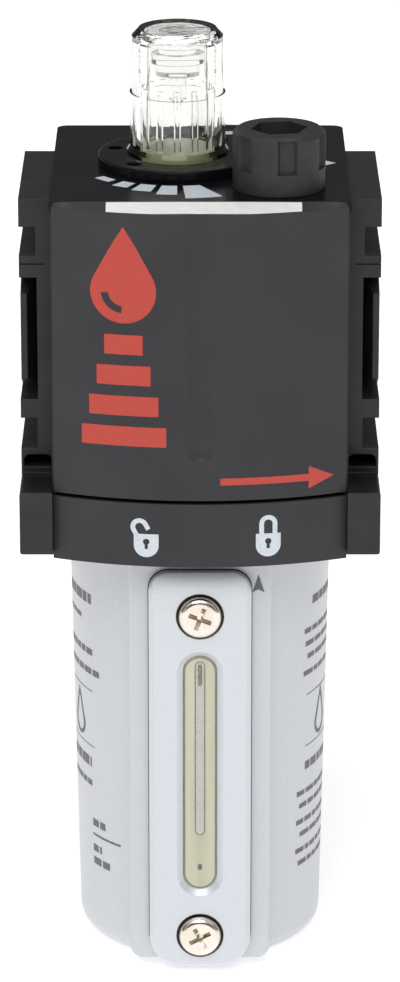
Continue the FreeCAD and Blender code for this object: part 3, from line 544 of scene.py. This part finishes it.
def sight_details():
    """Thin dark seal that shows round the bezel, which is also painted shade along the bezel's edge;
    and painted shade on the sight glass:
    dark rims that stand for light bent at the window's edge and the channel's walls, a grey tone
    inside the channel, and dark dots for its two holes."""
    margin = 0.18 * MM
    left, right = BEZEL_LOW.x - margin, BEZEL_HIGH.x + margin
    low, high = BEZEL_LOW.z - margin, BEZEL_HIGH.z + margin
    r_low, r_high = 7.6 * MM, 4.6 * MM
    seal = circle(left + r_low, low + r_low, r_low, 180, 270, 12)
    seal += circle(right - r_low, low + r_low, r_low, 270, 360, 12)
    seal += circle(right - r_high, high - r_high, r_high, 0, 90, 10)
    seal += circle(left + r_high, high - r_high, r_high, 90, 180, 10)
    # A dark rubber sheet that shows 0.18 mm round the bezel: a seal, and also painted shade for the
    # dark line along the bezel's edge.
    plate("bezel_seal_and_painted_edge_shade", seal, PAD_Y - 0.22 * MM, PAD_Y - 0.01 * MM, MATERIALS["seal_rubber"])
    # Painted shade: dark rims round the window and the channel, and a grey tone inside the channel,
    # standing in for light bent by the glass.
    glass_edge_shade = [upright_slot(3.66 * MM, WINDOW_LOW, WINDOW_HIGH),
                  upright_slot(3.34 * MM, WINDOW_LOW + 0.32 * MM, WINDOW_HIGH - 0.32 * MM)]
    channel_edge_shade = [upright_slot(1.2 * MM, CHANNEL_LOW, CHANNEL_HIGH),
                    upright_slot(0.92 * MM, CHANNEL_LOW + 0.28 * MM, CHANNEL_HIGH - 0.28 * MM)]
    shade = upright_slot(0.9 * MM, CHANNEL_LOW + 0.3 * MM, CHANNEL_HIGH - 0.3 * MM)
    patches = (("glass_edge_shade", glass_edge_shade, "olive"), ("channel_edge_shade", channel_edge_shade, "olive"),
               ("channel_shade", [shade], "painted_grey_shade"))
    for name, loops, tone in patches:
        ink_or_painted_shade_patch("sight_" + name, loops, sight_surface, "bowl", INKS_AND_PAINTED_SHADES[tone], 6 * MM)
    # Painted shade: dark dots where the channel's two holes are, the lower one in the grey print ink.
    holes = (("low", 26.6 * MM, 0.75 * MM, "grey"), ("high", 73.6 * MM, 2.6 * MM, "olive"))
    for name, z, tall, tone in holes:
        hole = upright_slot(0.5 * MM, z - tall, z + tall)
        ink_or_painted_shade_patch("sight_hole_painted_shade_" + name, [hole], over_sight, "bowl", INKS_AND_PAINTED_SHADES[tone], 6 * MM)


# ---------------------------------------------------------------- port threads
def port_thread(name, side):
    """Helical ridge that stands for the pipe thread inside a port."""
    around = 64
    count = THREAD_TURNS * around
    mouth = side * (HOUSING_HIGH.x - 2.2 * MM)
    mesh = bpy.data.meshes.new(name)
    rings = []
    for i in range(count + 1):
        a = 2 * math.pi * i / around
        ramp = min(1.0, i / (around / 3), (count - i) / (around / 3))
        x = mouth - side * THREAD_PITCH * i / around
        crest = PORT_R - THREAD_DEPTH * ramp
        root = PORT_R + 0.02 * MM
        half = THREAD_PITCH * 0.46
        rings.append([(x - half, root, a), (x, crest, a), (x + half, root, a)])
    verts = [(x, r * math.cos(a), PORT_Z + r * math.sin(a)) for ring in rings for x, r, a in ring]
    faces = []
    for i in range(len(rings) - 1):
        for j in range(3):
            k = (j + 1) % 3
            faces.append((3 * i + j, 3 * i + k, 3 * i + 3 + k, 3 * i + 3 + j))
    last = 3 * (len(rings) - 1)
    faces += [(0, 2, 1), (last, last + 1, last + 2)]
    mesh.from_pydata(verts, [], faces)
    solid = bmesh.new()
    solid.from_mesh(mesh)
    bmesh.ops.recalc_face_normals(solid, faces=solid.faces)
    solid.to_mesh(mesh)
    solid.free()
    mesh.materials.append(MATERIALS["cast_black"])
    piece = bpy.data.objects.new(name, mesh)
    bpy.context.scene.collection.objects.link(piece)
    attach(piece, "body")


# ---------------------------------------------------------------- stage, light and camera
def floor():
    s = Shader("floor", Roughness=0.9)
    s.colour((0.93, 0.93, 0.93), (0.95, 0.95, 0.95), 3)
    s.bsdf.inputs["Emission Color"].default_value = (1, 1, 1, 1)
    s.bsdf.inputs["Emission Strength"].default_value = FLOOR_GLOW
    bpy.ops.mesh.primitive_plane_add(size=FLOOR_SIZE)
    plane = bpy.context.active_object
    plane.name = "floor"
    plane.data.materials.append(s.done())


def soft_sun(azimuth, elevation, spread, strength):
    """Wide soft light from far away: azimuth in degrees from the front towards the right."""
    light = bpy.data.lights.new("soft_sun", "SUN")
    light.angle = math.radians(spread)
    light.energy = strength
    lamp = bpy.data.objects.new("soft_sun", light)
    lamp.rotation_euler = (math.radians(90 - elevation), 0, math.radians(azimuth))
    bpy.context.scene.collection.objects.link(lamp)


def softbox(name, place, target, width, height, power):
    light = bpy.data.lights.new(name, "AREA")
    light.shape = "RECTANGLE"
    light.size = width
    light.size_y = height
    light.energy = power
    lamp = bpy.data.objects.new(name, light)
    lamp.location = place
    lamp.rotation_euler = (Vector(target) - Vector(place)).to_track_quat("-Z", "Y").to_euler()
    bpy.context.scene.collection.objects.link(lamp)


def sky():
    """Light from overhead, like a soft box roof over a dim room. The camera sees a white backdrop
    everywhere, and rays that have passed through glass see one at least half as bright."""
    world = bpy.data.worlds.new("studio")
    bpy.context.scene.world = world
    world.use_nodes = True
    tree = world.node_tree
    background = tree.nodes["Background"]
    background.inputs["Color"].default_value = (1, 1, 1, 1)
    direction = tree.nodes.new("ShaderNodeTexCoord")
    split = tree.nodes.new("ShaderNodeSeparateXYZ")
    level = tree.nodes.new("ShaderNodeMapRange")
    for socket, value in SKY_LEVELS:
        level.inputs[socket].default_value = value
    tree.links.new(direction.outputs["Generated"], split.inputs["Vector"])
    tree.links.new(split.outputs["Z"], level.inputs["Value"])
    path = tree.nodes.new("ShaderNodeLightPath")
    strength = level.outputs["Result"]
    for kind, share in (("Is Camera Ray", 1.0), ("Is Transmission Ray", CLEAR_SHARE)):
        part = tree.nodes.new("ShaderNodeMath")
        part.operation = "MULTIPLY"
        part.inputs[1].default_value = share
        pale = tree.nodes.new("ShaderNodeMath")
        pale.operation = "MAXIMUM"
        tree.links.new(path.outputs[kind], part.inputs[0])
        tree.links.new(part.outputs["Value"], pale.inputs[0])
        tree.links.new(strength, pale.inputs[1])
        strength = pale.outputs["Value"]
    tree.links.new(strength, background.inputs["Strength"])


def studio():
    sky()
    middle = (0, 0, 0.11)
    soft_sun(-10, 55, 45, 1.3)
    softbox("key_left", (-0.75, -0.55, 0.45), middle, 0.4, 0.8, 0.35)
    softbox("fill_right", (0.85, -0.45, 0.35), middle, 0.4, 0.8, 0.3)
    softbox("front_top", (0.05, -0.8, 0.8), middle, 0.7, 0.4, 1.0)
    bpy.context.scene.view_settings.view_transform = "Standard"


def camera():
    data = bpy.data.cameras.new("camera")
    data.lens = LENS
    data.clip_start = 0.05
    data.clip_end = 60
    eye = bpy.data.objects.new("camera", data)
    eye.location = EYE
    eye.rotation_euler = (math.radians(90 - EYE_DOWN), 0, 0)
    bpy.context.scene.collection.objects.link(eye)
    bpy.context.scene.camera = eye


camera()
studio()
floor()
dress_nodes()
cover_marks()
deck_marks()
bowl_marks()
sight_details()
padlock("padlock_open", -11.9 * MM, BAND_LOW.z + 2.2 * MM, True)
padlock("padlock_closed", 15.1 * MM, BAND_LOW.z + 2.2 * MM, False)
port_thread("inlet_thread", -1)
port_thread("outlet_thread", 1)
